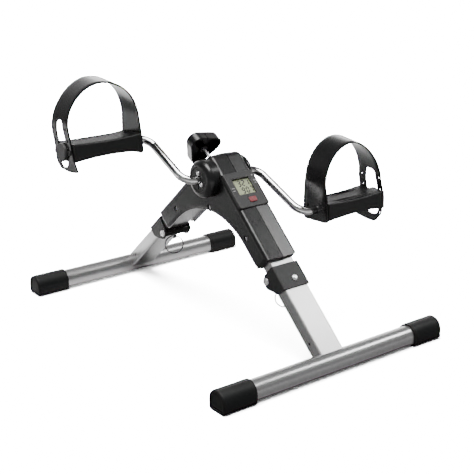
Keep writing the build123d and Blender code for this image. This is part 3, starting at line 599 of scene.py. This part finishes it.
def addRecessShadow(look):
    bm = bmesh.new()
    half, top, bottom = look["halfWidth"], look["top"], look["bottom"]
    thick, wide = look["thick"], look["wide"]
    outer = ((-half, top), (half, top), (half, bottom), (-half, bottom))
    inner = (
        (-half + thick, top + wide), (half - wide, top + wide),
        (half - wide, bottom - thick), (-half + thick, bottom - thick),
    )
    levels = ((outer, look["foot"]), (outer, look["lip"]), (inner, look["lip"]), (inner, look["foot"]))
    rings = []
    for corners, out in levels:
        rings.append([bm.verts.new(onFront(x, d, out)) for x, d in corners])
    for n in range(4):
        first, second = rings[n], rings[(n + 1) % 4]
        for k in range(4):
            m = (k + 1) % 4
            bm.faces.new((first[k], first[m], second[m], second[k]))
    # a dark sheet standing in for the shade inside the recess
    recessShadowSheet = keepMesh("screenRecessShadow", meshFrom("screenRecessShadow", bm), "frame", finishes["sensor"])


addRecessShadow(screenRecessShadow)
print("display dressed")


# pedals and straps: places by reach out along the spindle, up through the strap, and along towards its tail

crank = {"reach": 0.103, "angle": 26.8}
crankAngle = math.radians(crank["angle"])
spindleY, spindleZ = crank["reach"] * math.cos(crankAngle), crank["reach"] * math.sin(crankAngle)


def pedalPlace(hand, tilt, reach, up, along):
    lean = math.radians(tilt)
    centre = Vector((0, -hand * spindleY, hubHeight - hand * spindleZ))
    upward = Vector((0, math.sin(lean), math.cos(lean)))
    onward = Vector((0, hand * math.cos(lean), -hand * math.sin(lean)))
    return centre + Vector((hand * reach, 0, 0)) + upward * up + onward * along


def roundedLoop(corners, chords=5):
    # a closed outline whose corners are arcs, none past the middle of a side: each corner is (x, y, radius)
    points = []
    for n, (x, y, radius) in enumerate(corners):
        here = Vector((x, y))
        before = Vector(corners[n - 1][:2]) - here
        after = Vector(corners[(n + 1) % len(corners)][:2]) - here
        if radius == 0:
            points.append(here)
            continue
        half = before.angle(after) / 2
        cut = min(radius / math.tan(half), before.length * 0.49, after.length * 0.49)
        radius = cut * math.tan(half)
        start, end = here + before.normalized() * cut, here + after.normalized() * cut
        middle = here + (before.normalized() + after.normalized()).normalized() * radius / math.sin(half)
        for k in range(chords + 1):
            spoke = (start - middle).lerp(end - middle, k / chords).normalized()
            points.append(middle + spoke * radius)
    return points


straps = {
    "thick": 0.0025,
    "edge": 0.0005,
    "edgeAngle": 50,
    "strip": 0.003,
    "inner": 0.0923,
    "outer": 0.2040,
    "spring": 0.034,
    "quarter": 0.090,
    "waist": 0.0215,
    # how far over the arch the sideways lean is complete, in quarters, and where it is gone again below
    "leanRun": 1.5,
    "leanFoot": 0.004,
    # the flat sheet's sides: out past the waist, up that limb, and corner radius
    "outerSide": ((0.0012, 0.026, 0.02), (0.0, 0.046, 0.03)),
    "innerSide": ((0.0, 0.040, 0.03), (0.0035, 0.012, 0.02), (0.0050, -0.0165, 0.006)),
    # the slot's taper and its height where widest, and its corners at top, side and foot
    "slotTaper": 0.0035,
    "slotWide": 0.022,
    "slotRounds": (0.007, 0.03, 0.009),
    # radius and number of sides
    "spindleHole": (0.0064, 24),
    "pegHole": (0.0018, 12),
    "left": {
        "hand": -1, "tilt": 6, "lean": -0.0055,
        "tailward": {"crown": (0.1475, 0.0895), "innerBend": 2.12, "outerBend": 1.8},
        "heelward": {"crown": (0.1450, 0.0957), "innerBend": 2.3, "outerBend": 1.7},
        "slot": (-0.0118, 0.0104, 0.0462, -0.0215),
        "holes": (
            (0.0165, 0.0312), (0.0165, 0.0156), (-0.0178, 0.0312), (-0.0178, 0.0156), (-0.0178, -0.0156),
        ),
        "tail": (
            (0.0222, 0.004, 0.010), (0.0262, -0.011, 0.008), (0.0352, -0.0262, 0.0022),
            (0.0100, -0.0268, 0.030), (-0.0120, -0.0235, 0.012), (-0.0222, -0.0140, 0.012),
            (-0.0232, 0.004, 0.010),
        ),
    },
    "right": {
        "hand": 1, "tilt": 4, "lean": 0.0038,
        "tailward": {"crown": (0.1490, 0.0967), "innerBend": 1.95, "outerBend": 2.05},
        "heelward": {"crown": (0.1485, 0.0924), "innerBend": 2.0, "outerBend": 1.63},
        "slot": (-0.0142, 0.0098, 0.0440, -0.0262),
        "holes": (
            (0.0160, 0.0318), (0.0160, 0.0164), (-0.0190, 0.0295), (-0.0188, 0.0130), (-0.0165, -0.0225),
        ),
        "tail": (
            (0.0238, 0.004, 0.010), (0.0252, -0.018, 0.008), (0.0340, -0.0318, 0.0022),
            (0.0120, -0.0362, 0.030), (-0.0065, -0.0378, 0.009), (-0.0195, -0.0240, 0.014),
            (-0.0245, 0.000, 0.020),
        ),
    },
}


def mix(first, second, share):
    return first + (second - first) * share


def eased(share):
    share = min(max(share, 0), 1)
    return share * share * (3 - 2 * share)


def strapPlace(look, form, run, along):
    # run goes up the inner limb, over the arch and down the outer limb
    spring, quarter = look["spring"], look["quarter"]
    share = min(max((along / look["waist"] + 1) / 2, 0), 1)
    heel, tail = form["heelward"], form["tailward"]
    crownReach = mix(heel["crown"][0], tail["crown"][0], share)
    crownUp = mix(heel["crown"][1], tail["crown"][1], share)
    past = run - spring
    if past <= 0:
        reach, up = look["inner"], run
    elif past < 2 * quarter:
        limb, bend = ("inner", "innerBend") if past < quarter else ("outer", "outerBend")
        power = 2 / mix(heel[bend], tail[bend], share)
        angle = min(past, 2 * quarter - past) / quarter * math.pi / 2
        reach = mix(crownReach, look[limb], math.cos(angle) ** power)
        up = spring + (crownUp - spring) * math.sin(angle) ** power
    else:
        reach, up = look["outer"], spring - (past - 2 * quarter)
    if past < 2 * quarter:
        lean = eased(past / (look["leanRun"] * quarter))
    else:
        lean = eased((up - look["leanFoot"]) / (spring - look["leanFoot"]))
    return pedalPlace(form["hand"], form["tilt"], reach, up, along + form["lean"] * lean)


def strapPattern(look, form):
    # the strap laid flat: across it, and along its run
    turnDown = look["spring"] + 2 * look["quarter"] + look["spring"]
    waist = look["waist"]
    side = [(past, turnDown - up, radius) for past, up, radius in look["outerSide"]]
    side += look["innerSide"]
    outline = [(x, turnDown - up, radius) for x, up, radius in form["tail"]]
    outline += [(-waist - past, run, radius) for past, run, radius in side]
    outline += [(waist + past, run, radius) for past, run, radius in reversed(side)]
    low, high, top, bottom = form["slot"]
    taper, wide = look["slotTaper"], look["slotWide"]
    topRound, sideRound, footRound = look["slotRounds"]
    slot = [
        (low + taper, turnDown - top, topRound), (high - taper, turnDown - top, topRound),
        (high, turnDown - wide, sideRound), (high, turnDown - bottom, footRound),
        (low, turnDown - bottom, footRound), (low, turnDown - wide, sideRound),
    ]
    loops = [roundedLoop(outline), roundedLoop(slot)]
    rounds = [(x, turnDown - up, look["pegHole"]) for x, up in form["holes"]]
    rounds.append((0, 0, look["spindleHole"]))
    for x, y, (radius, count) in rounds:
        turns = [2 * math.pi * n / count for n in range(count)]
        loops.append([Vector((x + radius * math.cos(a), y + radius * math.sin(a))) for a in turns])
    return loops


def stepsBetween(low, high, size):
    count = max(1, round((high - low) / size))
    return [low + (high - low) * n / count for n in range(1, count)]


def flatSheet(look, form):
    # the pattern filled, and cut into strips fine enough to bend
    bm = bmesh.new()
    for loop in strapPattern(look, form):
        verts = [bm.verts.new((point.x, point.y, 0)) for point in loop]
        for n, vert in enumerate(verts):
            bm.edges.new((vert, verts[(n + 1) % len(verts)]))
    bmesh.ops.triangle_fill(bm, edges=bm.edges[:], use_beauty=True)
    ends = [vert.co.y for vert in bm.verts]
    cuts = [((0, y, 0), (0, 1, 0)) for y in stepsBetween(min(ends), max(ends), look["strip"])]
    cuts += [((x, 0, 0), (1, 0, 0)) for x in stepsBetween(-look["waist"], look["waist"], 2 * look["strip"])]
    for place, direction in cuts:
        geometry = bm.verts[:] + bm.edges[:] + bm.faces[:]
        bmesh.ops.bisect_plane(bm, geom=geometry, plane_co=place, plane_no=direction, dist=1e-7)
    return bm


def strapMesh(look, form, name):
    bm = flatSheet(look, form)
    for vert in bm.verts:
        vert.co = strapPlace(look, form, vert.co.y, vert.co.x)
    bmesh.ops.remove_doubles(bm, verts=bm.verts[:], dist=1e-5)
    bmesh.ops.recalc_face_normals(bm, faces=bm.faces[:])
    # the crown faces up, so that the thickness goes inward
    crown = max(bm.faces, key=lambda face: face.calc_center_median().z)
    if crown.normal.z < 0:
        bmesh.ops.reverse_faces(bm, faces=bm.faces[:])
    for face in bm.faces:
        face.smooth = True
    mesh = bpy.data.meshes.new(name)
    bm.to_mesh(mesh)
    bm.free()
    return mesh


def addStrap(look, side):
    name = side + "StrapSheet"
    made = keepMesh(name, strapMesh(look, look[side], name), side + "_pedal_set", finishes["strap"])
    solid = made.modifiers.new("thickness", "SOLIDIFY")
    solid.thickness = look["thick"]
    solid.offset = -1
    soft = made.modifiers.new("edges", "BEVEL")
    soft.width = look["edge"]
    soft.segments = 2
    soft.limit_method = "ANGLE"
    soft.angle_limit = math.radians(look["edgeAngle"])
    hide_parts(side + "_strap")


addStrap(straps, "left")
addStrap(straps, "right")
print("straps laid over the pedals")


# floor and light

studio = {
    "floorHalf": 14,
    "floorShade": 0.20,
    "floorLift": 17.0,
    "floorSpread": 0.3,
    "backLift": 30.0,
    # how bright polished surfaces see the floor's painted pools of light, and where these start and are full
    "floorGloss": 1.7,
    "rightPatch": (-0.24, -0.16),
    "leftPatch": (-0.55, -0.70),
    "leftShare": 0.6,
    "rearPatch": (0.10, 0.35),
    "frontPatch": (-0.25, -0.55),
    "frontShare": 0.35,
    # how much of the air's light falls on what isn't polished
    "soft": 0.12,
    "brightest": 6.0,
    "frontAir": (
        # height of the direction, and how bright the air in front of the object is there
        (0.00, 0.22), (0.14, 0.25), (0.22, 0.30), (0.50, 0.34), (0.62, 0.12), (1.00, 0.03),
    ),
    "rearAir": (
        # the same for the lit paper behind it
        (0.00, 2.6), (0.12, 4.2), (0.30, 4.6), (0.42, 0.8), (0.60, 0.1), (1.00, 0.0),
    ),
    # how far right and how far back a direction points where the lit paper starts and is full
    "litAcross": (-0.12, 0.36),
    "litBehind": (0.10, 0.45),
    "lights": (
        # name, place, aim, width, height, watts, and whether polished surfaces show it
        ("topBox", (-0.25, -0.35, 2.3), (-0.25, -0.35, 0.0), 1.3, 1.5, 84.0, True),
        ("rightBox", (2.15, -1.05, 2.3), (2.05, -1.0, 0.0), 0.7, 0.8, 37.0, True),
        ("skyPanel", (-0.6, 0.5, 3.4), (0.0, 0.0, 0.0), 4.0, 4.0, 270.0, False),
    ),
}


def addFloor(look):
    half = look["floorHalf"]
    mesh = bpy.data.meshes.new("floor")
    corners = [(-half, -half, 0), (half, -half, 0), (half, half, 0), (-half, half, 0)]
    mesh.from_pydata(corners, [], [(0, 1, 2, 3)])
    floor = bpy.data.objects.new("floor", mesh)
    bpy.context.scene.collection.objects.link(floor)
    made = Finish("floorPaper")
    seen, mirrored = made.rays()
    across, back, _ = made.split(made.place())
    # painted pools of light on the floor, seen only in reflections
    beside = across.rising(*look["rightPatch"]) + across.rising(*look["leftPatch"]) * look["leftShare"]
    bright = back.rising(*look["rearPatch"]) * beside + back.rising(*look["frontPatch"]) * look["frontShare"]
    spread = (across * across + back * back) * look["floorSpread"] + 1.0
    shade = seen * spread * look["floorLift"] + mirrored * bright * look["floorGloss"] + look["floorShade"]
    colour = made.node("ShaderNodeCombineColor", None, Red=shade, Green=shade, Blue=shade)
    made.surface(made.node("ShaderNodeBsdfDiffuse", None, Color=made.out(colour)))
    mesh.materials.append(made.material)


def addAir(look):
    # dim air in front, with a dark band for polished metal to show, and lit paper behind
    world = bpy.data.worlds.new("studioAir")
    world.use_nodes = True
    bpy.context.scene.world = world
    air = Nodes(world.node_tree)
    seen, mirrored = air.rays()
    across, back, height = air.split(air.out(air.node("ShaderNodeTexCoord"), "Generated"))
    full = look["brightest"]
    bands = []
    for part in ("frontAir", "rearAir"):
        stops = [(place, grey(shade / full)) for place, shade in look[part]]
        bands.append(air.out(air.node("ShaderNodeValToRGB", {"stops": stops}, Fac=height)) * full)
    front, paper = bands
    glow = front + paper * back.rising(*look["litBehind"]) * across.rising(*look["litAcross"])
    shown = glow * (mirrored * (1 - look["soft"]) + look["soft"])
    sky = world.node_tree.nodes["Background"]
    sky.inputs["Color"].default_value = (1, 1, 1, 1)
    air.feed(sky.inputs["Strength"], seen * (look["backLift"] - shown) + shown)


def addLights(look):
    for name, place, aim, width, height, watts, shown in look["lights"]:
        data = bpy.data.lights.new(name, "AREA")
        data.shape = "RECTANGLE"
        data.size = width
        data.size_y = height
        data.energy = watts
        lamp = bpy.data.objects.new(name, data)
        lamp.location = place
        lamp.visible_diffuse = not shown
        lamp.visible_glossy = shown
        lamp.rotation_euler = (Vector(aim) - Vector(place)).to_track_quat("-Z", "Y").to_euler()
        bpy.context.scene.collection.objects.link(lamp)
    print("floor and light set")


addFloor(studio)
addAir(studio)
addLights(studio)
